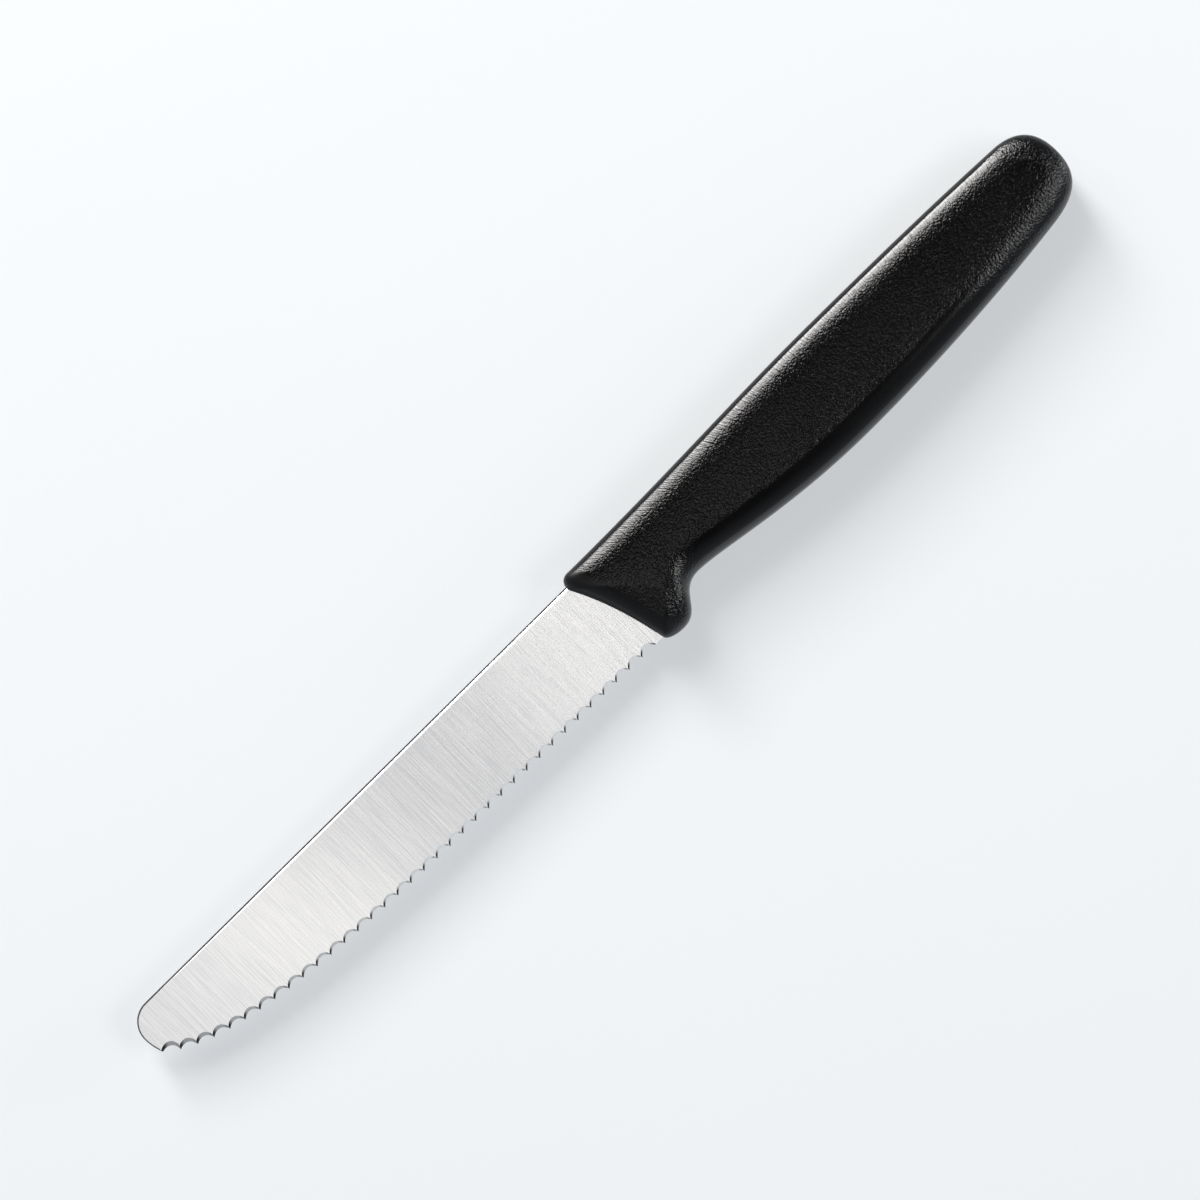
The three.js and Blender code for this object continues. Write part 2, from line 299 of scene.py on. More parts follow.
def arc(centre, radius, start, end, steps=ARC_STEPS):
    turn = np.radians(np.linspace(start, end, steps))
    return np.stack([centre[0] + radius * np.cos(turn), centre[1] + radius * np.sin(turn)], 1)


def lengths_along(points):
    return np.concatenate([[0], np.cumsum(np.linalg.norm(np.diff(points, axis=0), axis=1))])


def spaced(points, count):
    """The same line as points that lie equally far apart along it."""
    along = lengths_along(points)
    places = np.linspace(0, along[-1], count)
    return np.stack([np.interp(places, along, points[:, k]) for k in range(2)], 1)


def normals_left(points):
    """Unit normals to the left of an open line's direction."""
    way = np.gradient(points, axis=0)
    way /= np.linalg.norm(way, axis=1)[:, None]
    return np.stack([-way[:, 1], way[:, 0]], 1)


def smooth_step(x):
    x = np.clip(x, 0, 1)
    return x * x * (3 - 2 * x)


def between(value, limits):
    """0 up to the first limit and 1 past the second, with a smooth rise between them."""
    begin, full = limits
    return smooth_step((value - begin) / (full - begin))


def mesh_object(name, points, faces):
    mesh = bpy.data.meshes.new(name)
    mesh.from_pydata([tuple(p) for p in in_frame(points)], [], faces)
    mesh.validate()
    piece = bpy.data.objects.new(name, mesh)
    bpy.context.scene.collection.objects.link(piece)
    return piece


def add_value(piece, name, values):
    """One value for each of the mesh's points, for its material."""
    attribute = piece.data.attributes.new(name, "FLOAT", "POINT")
    attribute.data.foreach_set("value", np.asarray(values, np.float32))


def face_outward(piece, join=False):
    """Turns all faces of a closed mesh outward, and if asked first joins the points that meet."""
    bm = bmesh.new()
    bm.from_mesh(piece.data)
    if join:
        bmesh.ops.remove_doubles(bm, verts=bm.verts, dist=JOIN_WITHIN)
        bmesh.ops.dissolve_degenerate(bm, edges=bm.edges, dist=NO_LENGTH)
    bmesh.ops.recalc_face_normals(bm, faces=bm.faces)
    bm.to_mesh(piece.data)
    bm.free()


def shade(piece, level=math.inf):
    """Smooth faces, apart from those more level than that, with a sharp edge where two meet at an angle."""
    mesh = piece.data
    bm = bmesh.new()
    bm.from_mesh(mesh)
    for face in bm.faces:
        face.smooth = abs(face.normal.z) < level
    for edge in bm.edges:
        edge.smooth = len(edge.link_faces) == 2 and edge.calc_face_angle(0) < SHARP_ANGLE
    bm.to_mesh(mesh)
    bm.free()


# The blade
def face_height(y):
    """Half of the blade's thickness, which thins from spine to edge."""
    return SPINE_THICKNESS / 2 + (SPINE_THICKNESS - EDGE_THICKNESS) / 2 / BLADE_WIDTH * y


def tooth_line():
    """The line of tooth points from tip to heel."""
    first = np.array([TIP_SETBACK - BLADE_REACH, -TIP_DEPTH])
    level = np.array([-STRAIGHT_EDGE, -BLADE_WIDTH])
    curve = cubic(
        first,
        first + TIP_EDGE_PULL * heading(-TIP_EDGE_ANGLE),
        level - (STRAIGHT_EDGE_PULL, 0),
        level,
        EDGE_STEPS,
    )
    return np.concatenate([curve, [level, (HEEL_SETBACK - HEEL_FLAT, -BLADE_WIDTH)]])


def back_line():
    """The blank's outline from the first tooth round the tip and along the spine to the tang's end."""
    first = np.array([TIP_SETBACK - BLADE_REACH, -TIP_DEPTH])
    bend = np.array([-BLADE_REACH, -(TIP_RADIUS + TIP_DEPTH) / 2])
    side = np.array([-BLADE_REACH, -TIP_RADIUS])
    t = np.linspace(0, 1, CURVE_STEPS, endpoint=False)[:, None]
    tip_end = first * (1 - t) ** 2 + 2 * bend * t * (1 - t) + side * t ** 2
    round_tip = arc((TIP_RADIUS - BLADE_REACH, -TIP_RADIUS), TIP_RADIUS, 180, 90)
    middle = SHOULDER_COVER + SHOULDER_LENGTH / 2
    shoulder_end = (SHOULDER_COVER + SHOULDER_LENGTH, -TANG_DROP)
    shoulder = cubic((SHOULDER_COVER, 0), (middle, 0), (middle, -TANG_DROP), shoulder_end, CURVE_STEPS)
    end_round = TANG_END_WIDTH / 2
    tang_end = arc((TANG_REACH - end_round, tang_axis), end_round, 90, 0)
    return np.concatenate([tip_end, round_tip, shoulder, [shoulder_end], tang_end])


def heel_line():
    """The blank's outline from the last tooth along the heel and under the tang to the tang's end."""
    start = (HEEL_SETBACK - HEEL_FLAT, -BLADE_WIDTH)
    heel = (HEEL_SETBACK + HEEL_COVER, -BLADE_WIDTH)
    floor = tang_axis - tang_root_width / 2
    rise_end = (heel[0] + HEEL_RISE, floor)
    rise = cubic(
        heel,
        (heel[0] + HEEL_RISE / 3, heel[1]),
        (heel[0] + HEEL_RISE / 4, floor),
        rise_end,
        CURVE_STEPS,
    )
    end_round = TANG_END_WIDTH / 2
    tang_end = arc((TANG_REACH - end_round, tang_axis), end_round, -90, 0)
    return np.concatenate([[start], rise, [rise_end], tang_end])


def toothed_edge():
    """Upper and lower edge of the scallops' bevels from the tip's end to the heel, and each place's turn,
    which is -1 on the scallop's side toward the tip and 1 on its side toward the heel."""
    line = tooth_line()
    teeth = round(lengths_along(line)[-1] / TOOTH_PITCH)
    points = spaced(line, teeth + 1)
    tilt = math.radians(TOOTH_TILT)
    sagitta = TOOTH_DEPTH * math.cos(tilt)
    upper, lower, turn = [], [], []
    for tooth in range(teeth):
        start, end = points[tooth], points[tooth + 1]
        chord = np.linalg.norm(end - start)
        way = (end - start) / chord
        inward = np.array([-way[1], way[0]])
        radius = (chord ** 2 / 4 + sagitta ** 2) / (2 * sagitta)
        low = -chord / 2 - FIRST_RUN * (tooth == 0)
        high = chord / 2 + LAST_RUN * (tooth == teeth - 1)
        steps = TOOTH_STEPS + (tooth == teeth - 1)
        for place in np.linspace(low, high, TOOTH_STEPS + 1)[:steps]:
            on_tooth = np.clip(place, -chord / 2, chord / 2)
            drops = [(radius - math.sqrt(radius ** 2 - p ** 2)) / math.cos(tilt) for p in (on_tooth, place)]
            foot = start + way * (chord / 2 + on_tooth) + inward * (TOOTH_DEPTH - drops[0])
            run = 2 * face_height(foot[1]) * math.tan(tilt)
            lower.append(foot)
            upper.append(start + way * (chord / 2 + place) + inward * (TOOTH_DEPTH - drops[1] + run))
            turn.append(2 * on_tooth / chord)
    upper[-1] = points[-1] + (LAST_RUN, 0)
    return np.array(upper), np.array(lower), np.array(turn)


def front_edge(grown, toothed):
    """The blank's front edge as matching upper and lower lines, with each place's turn in its scallop."""
    heel = spaced(heel_line(), HEEL_POINTS)
    if toothed:
        upper, lower, turn = toothed_edge()
        heel = heel[heel[:, 0] > upper[-1][0]]
        turn = np.concatenate([turn, np.full(len(heel), NO_SCALLOP)])
        return np.concatenate([upper, heel]), np.concatenate([lower, heel]), turn
    plain = np.concatenate([[(-ROOM_LEAD, -BLADE_WIDTH)], heel])
    plain = plain - grown * normals_left(plain)
    return plain, plain, np.full(len(plain), NO_SCALLOP)


def back_profiles(grown, toothed):
    """The blank's rounded back edge as rows of points from its upper to its lower side, one row after another
    from the first tooth to the tang's end."""
    back = back_line()
    if not toothed:
        back = np.concatenate([[(-ROOM_LEAD, 0)], back[back[:, 0] > -ROOM_LEAD + BACK_STEP]])
    along = lengths_along(back)
    inward = -normals_left(spaced(back, FINE_POINTS))
    fine = np.linspace(0, along[-1], FINE_POINTS)
    turn = np.linspace(ROUNDING_TURN, -ROUNDING_TURN, 2 * ROUNDING_STEPS + 1)
    rise = np.sin(turn) / math.sin(ROUNDING_TURN)
    reach = (np.cos(turn) - math.cos(ROUNDING_TURN)) / (1 - math.cos(ROUNDING_TURN))
    profiles = []
    for far in np.linspace(0, along[-1], math.ceil(along[-1] / BACK_STEP)):
        lean = FIRST_RISE * (1 - smooth_step(far / LEAN_LENGTH)) if toothed else 0.0
        places = np.minimum(far + lean * (1 + rise) / 2, along[-1])
        tip_share = 1 - smooth_step(places / ROUNDING_GROWTH)
        rounding = SPINE_ROUNDING + (TIP_ROUNDING - SPINE_ROUNDING) * tip_share
        if toothed:
            rounding *= smooth_step(places / TIP_ROUNDING / ROUNDING_FADE)
        rounding *= smooth_step((along[-1] - places) / SPINE_ROUNDING / ROUNDING_FADE)
        outline = np.stack([np.interp(places, along, back[:, k]) for k in range(2)], 1)
        way_in = np.stack([np.interp(places, fine, inward[:, k]) for k in range(2)], 1)
        inset = outline + way_in * (rounding - grown)[:, None]
        plan = inset - way_in * (rounding * reach)[:, None]
        height = (face_height(inset[:, 1]) + grown) * rise
        profiles.append(np.column_stack([plan, height]))
    return profiles


def blank_mesh(name, grown=0.0, toothed=True):
    """Blade and tang as one closed mesh, or the tang's room, which is larger all round and has no teeth."""
    upper, lower, turn = front_edge(grown, toothed)
    profiles = back_profiles(grown, toothed)
    top = np.column_stack([upper, face_height(upper[:, 1]) + grown])
    bottom = np.column_stack([lower, -face_height(lower[:, 1]) - grown])
    shared = 1 if toothed else 0  # whether the edges also meet at their start
    if shared:
        top[0], bottom[0] = profiles[0][0], profiles[0][-1]
    top[-1], bottom[-1] = profiles[-1][0], profiles[-1][-1]
    points = np.concatenate([top, bottom, *profiles])
    count, size, rows = len(top), len(profiles[0]), len(profiles)
    first = 2 * count
    last = first + (rows - 1) * size
    faces = [(k, k + 1, count + k + 1, count + k) for k in range(count - 2)]
    faces.append((count - 2, count - 1, *range(last + 1, last + size - 1), 2 * count - 1, 2 * count - 2))
    for row in range(rows - 1):
        for i in range(size - 1):
            a = first + row * size + i
            faces.append((a, a + 1, a + 1 + size, a + size))
    faces.append((0, *range(first + shared, first + size - shared), count))
    faces.append((*range(count), *range(last - size, first + shared - 1, -size)))
    faces.append((*range(count, 2 * count), *range(last - 1, first + size - 2 + shared, -size)))
    values = np.concatenate([turn, turn, np.full(rows * size, NO_SCALLOP)])
    return closed_mesh(name, points, faces, values)


def closed_mesh(name, points, faces, turn=None):
    """A mesh whose points are joined where they meet and whose faces all look outward."""
    piece = mesh_object(name, points, faces)
    if turn is not None:
        add_value(piece, "turn", turn)
    face_outward(piece, join=True)
    return piece


def cut(piece, cutter):
    """Takes one mesh away from another."""
    modifier = piece.modifiers.new("cut", "BOOLEAN")
    modifier.operation = "DIFFERENCE"
    modifier.solver = "EXACT"
    modifier.object = cutter
    bpy.context.view_layer.update()
    evaluated = piece.evaluated_get(bpy.context.evaluated_depsgraph_get())
    mesh = bpy.data.meshes.new_from_object(evaluated)
    piece.modifiers.clear()
    old = piece.data
    piece.data = mesh
    mesh.name = piece.name
    bpy.data.meshes.remove(old)
    bpy.data.objects.remove(cutter)


def lock_hole(setback, grown=0.0):
    """A peg that fits one lock hole of the tang."""
    sides = LOCK_HOLE_SIDES
    ring = arc((setback, tang_axis), LOCK_HOLE_DIAMETER / 2 - grown, 0, 360 - 360 / sides, sides)
    points = [(x, y, z) for z in (-SPINE_THICKNESS, SPINE_THICKNESS) for x, y in ring]
    faces = [tuple(range(sides)), tuple(range(sides, 2 * sides))]
    for i in range(sides):
        j = (i + 1) % sides
        faces.append((i, j, sides + j, sides + i))
    return closed_mesh("lock_hole", points, faces)


def make_blank(name, grown=0.0, toothed=True):
    blank = blank_mesh(name, grown, toothed)
    for copy in range(LOCK_HOLE_COUNT):
        cut(blank, lock_hole(LOCK_HOLE_SETBACK + copy * LOCK_HOLE_SPACING, grown))
    return blank


def mark_finishes(blade):
    """Gives the ground scallops the second material and the sheared edge of the sheet the third; both are
    painted with shade.
    """
    turn = np.empty(len(blade.data.vertices), np.float32)
    blade.data.attributes["turn"].data.foreach_get("value", turn)
    for face in blade.data.polygons:
        if np.all(turn[list(face.vertices)] > NO_SCALLOP):
            face.material_index = 1
        elif abs(face.normal.z) < SHEARED_BELOW:
            face.material_index = 2


def map_blade(blade):
    """A flat map in which U runs along the blade, so that the steel's shine follows its brushing."""
    uv = blade.data.uv_layers.new(name="flat")
    for loop in blade.data.loops:
        place = blade.data.vertices[loop.vertex_index].co
        uv.data[loop.index].uv = (place.x / (BLADE_REACH * MM), place.y / (BLADE_REACH * MM))


# The handle
def handle_corners():
    """Corners of the handle's outline, clockwise from the foot of the nose: the place, the way from it to the
    matching corner of the side's flat, the height of the wall under the roll, the heading, and the share of
    the stretches before and after it over which the heading holds."""
    nose_middle = np.array([NOSE_RADIUS - NOSE_LEAD, NOSE_RISE - NOSE_RADIUS])
    foot = nose_middle + NOSE_RADIUS * heading(NOSE_TURN + 90)
    turn = math.radians(NOSE_TURN)
    arc_share = 2 / 3 * math.tan(turn / 4) / math.sin(turn / 2)
    upper = (HANDLE_LENGTH - UPPER_CORNER_SETBACK, UPPER_CORNER_RISE)
    lower = (HANDLE_LENGTH - LOWER_CORNER_SETBACK, -LOWER_CORNER_DEPTH)
    return [
        (foot, (FRONT_ROLL, -BACK_ROLL), FRONT_WALL, NOSE_TURN, 0.37, arc_share),
        ((nose_middle[0], NOSE_RISE), (FRONT_ROLL, -BACK_ROLL), BACK_WALL, 0, arc_share, 0.445),
        ((HUMP_SETBACK, HUMP_RISE), (0, -BACK_ROLL), BACK_WALL, 0, 0.342, 0.335),
        (upper, (-BUTT_ROLL / 3, -BACK_ROLL), BACK_WALL, -BACK_SLOPE, 0.33, 0.49),
        ((HANDLE_LENGTH, -BUTT_DROP), (-BUTT_ROLL, 0), BUTT_WALL, -90, 0.418, 0.377),
        (lower, (-BUTT_ROLL / 3, BELLY_ROLL), BELLY_WALL, UNDERSIDE_SLOPE - 180, 0.577, 0.296),
        ((BELLY_SETBACK, -BELLY_DEPTH), (0, BELLY_ROLL), BELLY_WALL, 180, 0.33, 0.495),
        ((NECK_SETBACK, -NECK_DEPTH), (0, BELLY_ROLL), BELLY_WALL, 180, 0.146, 0.486),
        ((GUARD_SETBACK, -guard_depth), (FRONT_ROLL / 2, GUARD_ROLL), BELLY_WALL, 180, 0.446, 0.36),
        ((HEEL_SETBACK, -BLADE_WIDTH), (FRONT_ROLL, HEEL_ROLL), FRONT_WALL, 90 + FRONT_LEAN, 0.255, 0.32),
    ]


def handle_lines():
    """The handle's outline and the edge of its side's flat, as closed lines with matching points, and the
    height of the wall under the roll between them."""
    corners = handle_corners()
    outline, flat, wall = [], [], []
    for i, (start, start_in, start_wall, start_way, _, after) in enumerate(corners):
        end, end_in, end_wall, end_way, before, _ = corners[(i + 1) % len(corners)]
        start, end = np.array(start), np.array(end)
        steps = max(CURVE_STEPS_LEAST, math.ceil(np.linalg.norm(end - start) / OUTLINE_STEP))
        for line, a, b in ((outline, start, end), (flat, start + start_in, end + end_in)):
            chord = np.linalg.norm(b - a)
            leaving = a + heading(start_way) * after * chord
            arriving = b - heading(end_way) * before * chord
            line.append(cubic(a, leaving, arriving, b, steps))
        wall.append(start_wall + (end_wall - start_wall) * smooth_step(np.arange(steps) / steps))
    return np.concatenate(outline), np.concatenate(flat), np.concatenate(wall)


def handle_rings():
    """Rings of points over the upper half of the handle, from the middle of its side to the parting line.
    Each ring has its places, its heights and its level: 2 in the middle, 1 at the flat's edge and 0 at the
    parting line."""
    outline, flat, wall = handle_lines()
    count = len(outline)
    axis_front, axis_butt = np.array(AXIS_FRONT), np.array(AXIS_BUTT)
    share = np.clip((flat[:, 0] - axis_front[0]) / (axis_butt[0] - axis_front[0]), 0, 1)
    axis = axis_front + (axis_butt - axis_front) * share[:, None]
    half_width = np.linalg.norm(flat - axis, axis=1)
    roll = np.linalg.norm(outline - flat, axis=1)
    half = HANDLE_THICKNESS / 2
    edge = half_width / (half_width + roll)
    power = math.log(ROLL_START) / np.log(edge)

    def height_at(out):
        """Height at a share of the way from the middle line to the outline."""
        return wall + (half - CROWN * out ** 2 - wall) * np.maximum(1 - out ** power, 0) ** (1 / ROLL_POWER)

    edge_height = height_at(edge)
    rings = []
    for ring in range(FACE_RINGS):
        share = max(FACE_CORE, ring / FACE_RINGS)
        rings.append((axis + (flat - axis) * share, height_at(edge * share), np.full(count, 2 - share)))
    for step in range(ROLL_STEPS + 1):
        share = 1 - (1 - step / ROLL_STEPS) ** 2
        out = share * (1 - WALL_DRAFT / roll)
        height = height_at(edge + (1 - edge) * share)
        rings.append((flat + (outline - flat) * out[:, None], height, height / edge_height))
    for step in range(1, WALL_STEPS + 1):
        rise = 1 - step / WALL_STEPS
        height = PARTING_WIDTH / 2 + (wall - PARTING_WIDTH / 2) * rise
        out = 1 - WALL_DRAFT / roll * rise ** 2
        rings.append((flat + (outline - flat) * out[:, None], height, height / edge_height))
    groove = outline + (flat - outline) * (PARTING_DEPTH / roll)[:, None]
    rings.append((groove, np.zeros(count), np.zeros(count)))
    return outline, rings


def front_distance(places):
    """How far places lie from the handle's front edge, which is the last stretch of its outline."""
    corners = handle_corners()
    heel, foot = np.array(corners[-1][0]), np.array(corners[0][0])
    length = np.linalg.norm(foot - heel)
    along = np.clip((places - heel) @ (foot - heel) / length ** 2, 0, 1)
    return np.linalg.norm(places - heel - along[:, None] * (foot - heel), axis=1)


def handle_finish(places, level):
    """How grainy and how combed the plastic is, and whether it is off the smooth front. The flat, the top of
    the back's roll, the guard and the butt have the grain. The roll is combed on the back, and low on the
    belly in front of the butt."""
    x = places[:, 0]
    on_back = places[:, 1] > AXIS_FRONT[1]
    off_front = between(front_distance(places), SMOOTH_FRONT)
    guard = np.where(on_back, 0, 1 - between(x, GRAINED_GUARD))
    butt = np.where(on_back, between(x, GRAINED_BUTT), between(x, GRAINED_BELLY))
    flat = between(level, FLAT_LEVELS)
    edge = ROLL_GRAIN * between(level, EDGE_BEGINS) * (1 - between(level, EDGE_ENDS))
    ends = END_GRAIN * np.maximum(guard, butt) * between(level, END_LEVELS)
    grain = np.maximum(np.maximum(flat, edge * on_back), ends * (1 - flat))
    back_comb = 1 - between(level, COMB_ENDS)
    belly_comb = BELLY_COMB * (1 - between(level, BELLY_COMB_ENDS)) * between(x, COMBED_BELLY) * (1 - butt)
    combed = np.where(on_back, back_comb, belly_comb)
    return grain * off_front, combed * off_front, off_front


def handle_mesh(name):
    outline, upper = handle_rings()
    count = len(outline)
    rings = upper + [(place, -height, level) for place, height, level in reversed(upper[:-1])]
    points = np.concatenate([np.column_stack([place, height]) for place, height, _ in rings])
    faces = [tuple(range(count)), tuple(range(len(points) - 1, len(points) - count - 1, -1))]
    for k in range(len(rings) - 1):
        for i in range(count):
            a = k * count + i
            b = k * count + (i + 1) % count
            faces.append((a, b, b + count, a + count))
    piece = mesh_object(name, points, faces)
    levels = np.concatenate([level for _, _, level in rings])
    add_value(piece, "level", levels)
    add_value(piece, "along", np.tile(lengths_along(outline), len(rings)))
    for value, values in zip(("grain", "combed", "off_front"), handle_finish(points[:, :2], levels)):
        add_value(piece, value, values)
    face_outward(piece)
    return piece


# Materials
class Nodes:
    """A short way to write a material's nodes."""

    def __init__(self, name):
        self.material = bpy.data.materials.new(name)
        self.material.use_nodes = True
        self.tree = self.material.node_tree
        self.tree.nodes.clear()

    def add(self, kind, inputs=None, **settings):
        node = self.tree.nodes.new(kind)
        for key, value in settings.items():
            setattr(node, key, value)
        for key, value in (inputs or {}).items():
            if isinstance(value, bpy.types.NodeSocket):
                self.tree.links.new(value, node.inputs[key])
            else:
                node.inputs[key].default_value = value
        return node

    def math(self, operation, a, b=0.0):
        return self.add("ShaderNodeMath", {0: a, 1: b}, operation=operation).outputs[0]

    def noise(self, place, scale=1.0, detail=2.0, roughness=0.5):
        inputs = {"Vector": place, "Scale": scale, "Detail": detail, "Roughness": roughness}
        return self.add("ShaderNodeTexNoise", inputs).outputs["Fac"]

    def millimetres(self, stretch=(1, 1, 1)):
        """Places on the object in millimetres, stretched along its axes."""
        place = self.add("ShaderNodeTexCoord").outputs["Object"]
        scale = tuple(s / MM for s in stretch)
        return self.add("ShaderNodeMapping", {"Vector": place, "Scale": scale}).outputs[0]

    def ramp(self, factor, ends, dark, light):
        """A colour that goes from dark to light as the factor goes from one end to the other."""
        node = self.add("ShaderNodeValToRGB", {"Fac": factor})
        for element, place, colour in zip(node.color_ramp.elements, ends, (dark, light)):
            element.position = place
            element.color = (*colour, 1)
        return node.outputs["Color"]

    def bump(self, height, depth, strength):
        inputs = {"Height": height, "Strength": strength, "Distance": depth * MM}
        return self.add("ShaderNodeBump", inputs).outputs[0]

    def span(self, value, low, high, start=0.0, end=1.0):
        """A value between start and end moved to the span from low to high."""
        inputs = {"Value": value, "From Min": start, "From Max": end, "To Min": low, "To Max": high}
        return self.add("ShaderNodeMapRange", inputs).outputs[0]

    def value(self, name):
        """One of the values that the mesh carries at its points."""
        return self.add("ShaderNodeAttribute", attribute_name=name).outputs["Fac"]

    def finish(self, shader):
        self.add("ShaderNodeOutputMaterial", {"Surface": shader.outputs[0]})
        return self.material


def brushed_steel_and_painted_reflection():
    n = Nodes("brushed_steel_and_painted_reflection")
    brushing = n.noise(n.millimetres(BRUSHING), detail=1.0)
    # painted reflection: bright and dull bands that wave along the blade, added to the brushing's tone
    wander = n.noise(n.millimetres(PAINTED_REFLECTION_WANDER), detail=1.0)
    turn = 2 * math.pi / PAINTED_REFLECTION_WAVE
    inputs = {0: n.millimetres(), 1: (turn, turn * PAINTED_REFLECTION_SLANT, 0)}
    along = n.add("ShaderNodeVectorMath", inputs, operation="DOT_PRODUCT").outputs["Value"]
    phase = n.math("ADD", along, n.span(wander, -1.0, 1.0))
    painted_reflection = n.span(n.math("COSINE", phase), 0.0, 1.0, -1.0, 1.0)
    brushed_tone = n.math("MULTIPLY", brushing, BRUSHING_SHARE)
    reflection_tone = n.math("MULTIPLY", painted_reflection, 1 - BRUSHING_SHARE)
    tone = n.math("ADD", brushed_tone, reflection_tone)
    tangent = n.add("ShaderNodeTangent", direction_type="UV_MAP", uv_map="flat")
    shader = n.add(
        "ShaderNodeBsdfPrincipled",
        {
            "Base Color": n.ramp(tone, BRUSHED_TONES, BRUSHED_DARK, BRUSHED_LIGHT),
            "Metallic": 1.0,
            "Roughness": n.span(brushing, *BRUSHED_ROUGHNESS),
            "Anisotropic": 0.5,
            "Normal": n.bump(brushing, BRUSHING_DEPTH, 0.3),
            "Tangent": tangent.outputs[0],
        },
    )
    return n.finish(shader)


def ground_steel_with_painted_shade():
    n = Nodes("ground_steel_with_painted_shade")
    marks = n.noise(n.millimetres(GRINDING))
    along = n.add("ShaderNodeSeparateXYZ", {0: n.millimetres()}).outputs["X"]
    # painted shade: scallops darker toward the tip, and dark ends on each scallop beside the tooth points
    tip = blade_low.x / MM
    painted_tip_shade = n.span(along, TIP_SHADE_LIGHT, 1.0, tip, tip + TIP_SHADE_REACH)
    turn = n.math("ADD", n.value("turn"), n.span(marks, -RAGGED_TURN, RAGGED_TURN))
    tip_side_shade = n.span(turn, 0.0, 1.0, *TIP_SIDE_SHADE_TURNS)
    heel_side_shade = n.span(turn, 1.0, HOOK_LIGHT, *HEEL_SIDE_SHADE_TURNS)
    light = n.math("MULTIPLY", painted_tip_shade, n.math("MULTIPLY", tip_side_shade, heel_side_shade))
    shader = n.add(
        "ShaderNodeBsdfPrincipled",
        {
            "Base Color": n.ramp(light, (0.0, 1.0), GROUND_PAINTED_SHADE, GROUND_LIGHT),
            "Metallic": 1.0,
            "Roughness": n.span(marks, *GROUND_ROUGHNESS),
            "Normal": n.bump(marks, GRINDING_DEPTH, 0.3),
        },
    )
    return n.finish(shader)


def sheared_steel_with_painted_shade():
    n = Nodes("sheared_steel_with_painted_shade")
    tears = n.noise(n.millimetres(TEARS), detail=3.0, roughness=0.6)
    # the sheared edge's tears are real; its near-black colour is painted shade
    shader = n.add(
        "ShaderNodeBsdfPrincipled",
        {
            "Base Color": n.ramp(tears, NOISE_ENDS, SHEARED_SHADE_DARK, SHEARED_SHADE_LIGHT),
            "Metallic": 1.0,
            "Roughness": n.span(tears, *SHEARED_ROUGHNESS),
            "Normal": n.bump(tears, TEAR_DEPTH, 0.5),
        },
    )
    return n.finish(shader)


def grained_plastic():
    n = Nodes("grained_plastic")
    place = n.millimetres()
    warp = n.add("ShaderNodeTexNoise", {"Vector": place, "Scale": WARP, "Detail": 1.0}).outputs["Color"]
    mix = {0: WARP_SHARE, 1: place, 2: warp}
    bent = n.add("ShaderNodeMixRGB", mix, blend_type="LINEAR_LIGHT").outputs[0]
    inputs = {"Vector": bent, "Scale": CELLS, "Smoothness": 0.5}
    cells = n.add("ShaderNodeTexVoronoi", inputs, feature="SMOOTH_F1").outputs["Distance"]
    pores = n.noise(bent, PORES, roughness=0.55)
    pebbles = n.math("SUBTRACT", pores, cells)
    grain = n.math("MULTIPLY", pebbles, n.value("grain"))
    across = n.add("ShaderNodeCombineXYZ", {"X": n.value("along"), "Y": n.value("level")}).outputs[0]
    stretched = n.add("ShaderNodeMapping", {"Vector": across, "Scale": COMB}).outputs[0]
    streaks = n.math("MULTIPLY", n.noise(stretched), n.value("combed"))
    height = n.math("ADD", grain, n.math("MULTIPLY", streaks, COMB_DEPTH))
    front = n.span(n.value("off_front"), FRONT_ROUGHNESS, 0.0)
    shader = n.add(
        "ShaderNodeBsdfPrincipled",
        {
            "Base Color": n.ramp(n.noise(place, CLOUDS), NOISE_ENDS, PLASTIC_DARK, PLASTIC_LIGHT),
            "Roughness": n.math("ADD", n.span(pores, *PLASTIC_ROUGHNESS), front),
            "Specular IOR Level": 0.5,
            "Normal": n.bump(height, GRAIN_DEPTH, 1.0),
        },
    )
    return n.finish(shader)


def pale_floor():
    n = Nodes("pale_floor")
    cloud = n.noise(n.millimetres(), FLOOR_CLOUDS, detail=1.0)
    colour = n.ramp(cloud, NOISE_ENDS, FLOOR_DARK, FLOOR_LIGHT)
    lit = n.add("ShaderNodeBsdfPrincipled", {"Base Color": colour, "Roughness": 0.9})
    white = n.add("ShaderNodeEmission", {"Color": (*FLOOR_GLOW, 1), "Strength": 1.0})
    ray = n.add("ShaderNodeLightPath").outputs
    mirrored = n.math("MAXIMUM", ray["Is Glossy Ray"], ray["Is Transmission Ray"])
    seen = n.math("MAXIMUM", ray["Is Camera Ray"], mirrored)
    share = n.math("MULTIPLY", seen, FLOOR_WHITE)
    return n.finish(n.add("ShaderNodeMixShader", {0: share, 1: lit.outputs[0], 2: white.outputs[0]}))


# Pieces
def make_blade():
    blade = make_blank("blade_steel")
    shade(blade, LEVEL)
    mark_finishes(blade)
    map_blade(blade)
    for finish in (brushed_steel_and_painted_reflection, ground_steel_with_painted_shade, sheared_steel_with_painted_shade):
        blade.data.materials.append(finish())
    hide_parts("blade")
    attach(blade, "root")


def make_handle():
    handle = handle_mesh("handle_moulding")
    cut(handle, make_blank("tang_room", MOULD_GAP, False))
    shade(handle)
    handle.data.materials.clear()
    handle.data.materials.append(grained_plastic())
    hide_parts("handle")
    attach(handle, "root")


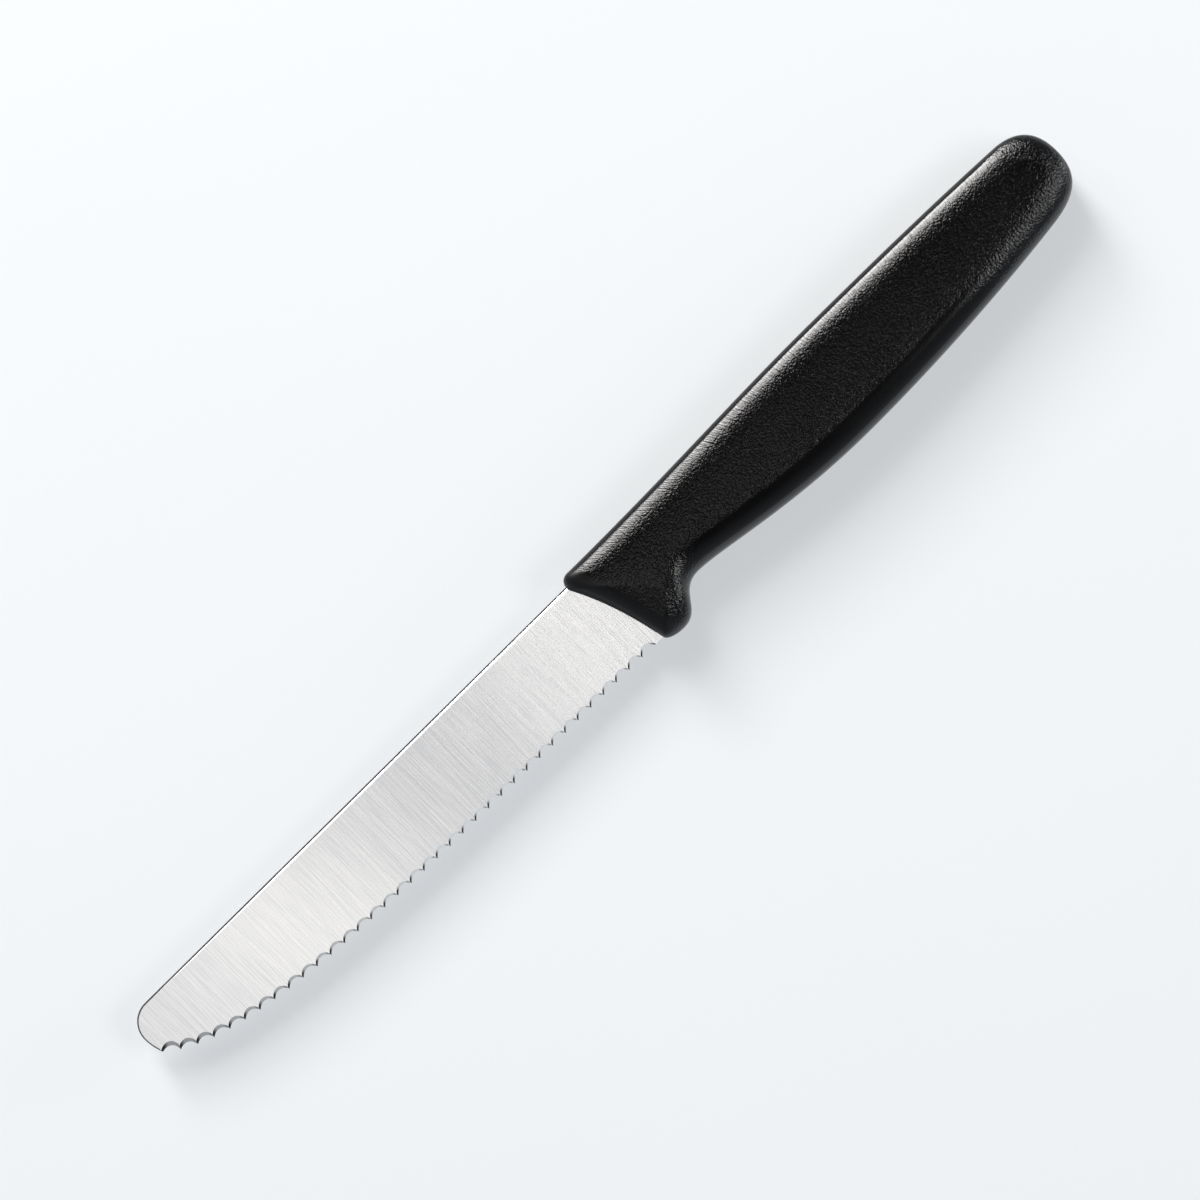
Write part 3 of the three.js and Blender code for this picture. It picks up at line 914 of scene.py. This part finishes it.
# Stage
def make_floor():
    mesh = bpy.data.meshes.new("floor")
    corners = [(x * FLOOR_REACH, y * FLOOR_REACH, 0) for x, y in ((-1, -1), (1, -1), (1, 1), (-1, 1))]
    mesh.from_pydata(corners, [], [(0, 1, 2, 3)])
    floor = bpy.data.objects.new("floor", mesh)
    bpy.context.scene.collection.objects.link(floor)
    floor.location.z = cad_low.z - FLOOR_GAP
    mesh.materials.append(pale_floor())


def softbox(name, place, aim, size, radiance, colour=(1, 1, 1)):
    """An area lamp of that size in metres, which looks as bright as a surface of that radiance."""
    lamp = bpy.data.lights.new(name, "AREA")
    lamp.shape = "RECTANGLE"
    lamp.size, lamp.size_y = size
    lamp.energy = radiance * math.pi * size[0] * size[1]
    lamp.color = colour
    holder = bpy.data.objects.new(name, lamp)
    holder.location = place
    holder.rotation_euler = (Vector(aim) - Vector(place)).to_track_quat("-Z", "Y").to_euler()
    holder.visible_camera = False
    bpy.context.scene.collection.objects.link(holder)


def back_box(name, middle, width, low, high, radiance):
    """A softbox behind the knife that reaches from one elevation to another, in degrees."""
    elevation = math.radians((low + high) / 2)
    height = 2 * BACK_DISTANCE * math.tan(math.radians((high - low) / 2))
    place = (middle, BACK_DISTANCE * math.cos(elevation), BACK_DISTANCE * math.sin(elevation))
    softbox(name, place, (middle, 0, 0), (width, height), radiance, WARM)


def make_lights():
    for name, left, right, radiance in OVER_BOXES:
        middle = (left + right) / 2
        place, aim = (middle, OVER_Y, OVER_HEIGHT), (middle, OVER_Y, 0)
        softbox(name, place, aim, (right - left, OVER_DEPTH), radiance)
    for box in BACK_BOXES:
        back_box(*box)
    for box in RIGHT_BOXES:
        softbox(*box)


def make_world():
    world = bpy.data.worlds.new("studio")
    bpy.context.scene.world = world
    world.use_nodes = True
    tree = world.node_tree
    background = tree.nodes["Background"]
    place = tree.nodes.new("ShaderNodeTexCoord")
    split = tree.nodes.new("ShaderNodeSeparateXYZ")
    ramp = tree.nodes.new("ShaderNodeValToRGB")
    tree.links.new(place.outputs["Generated"], split.inputs[0])
    tree.links.new(split.outputs["Z"], ramp.inputs["Fac"])
    tree.links.new(ramp.outputs["Color"], background.inputs["Color"])
    stops = ramp.color_ramp.elements
    for height, _ in SKY[1:-1]:
        stops.new(height)
    for stop, (height, colour) in zip(stops, SKY):
        stop.position = height
        stop.color = (*colour, 1)


def make_camera():
    data = bpy.data.cameras.new("camera")
    data.lens = LENS
    data.sensor_width = SENSOR
    data.clip_start = CLIP_START
    camera = bpy.data.objects.new("camera", data)
    camera.location = Vector(in_frame((*FRAME_CENTRE, FRAME_WIDTH * LENS / SENSOR)))
    camera.rotation_euler = (0, 0, -math.radians(KNIFE_ANGLE))
    bpy.context.scene.collection.objects.link(camera)
    bpy.context.scene.camera = camera


make_camera()
make_blade()
make_handle()
make_floor()
make_lights()
make_world()
bpy.context.scene.view_settings.view_transform = "Standard"
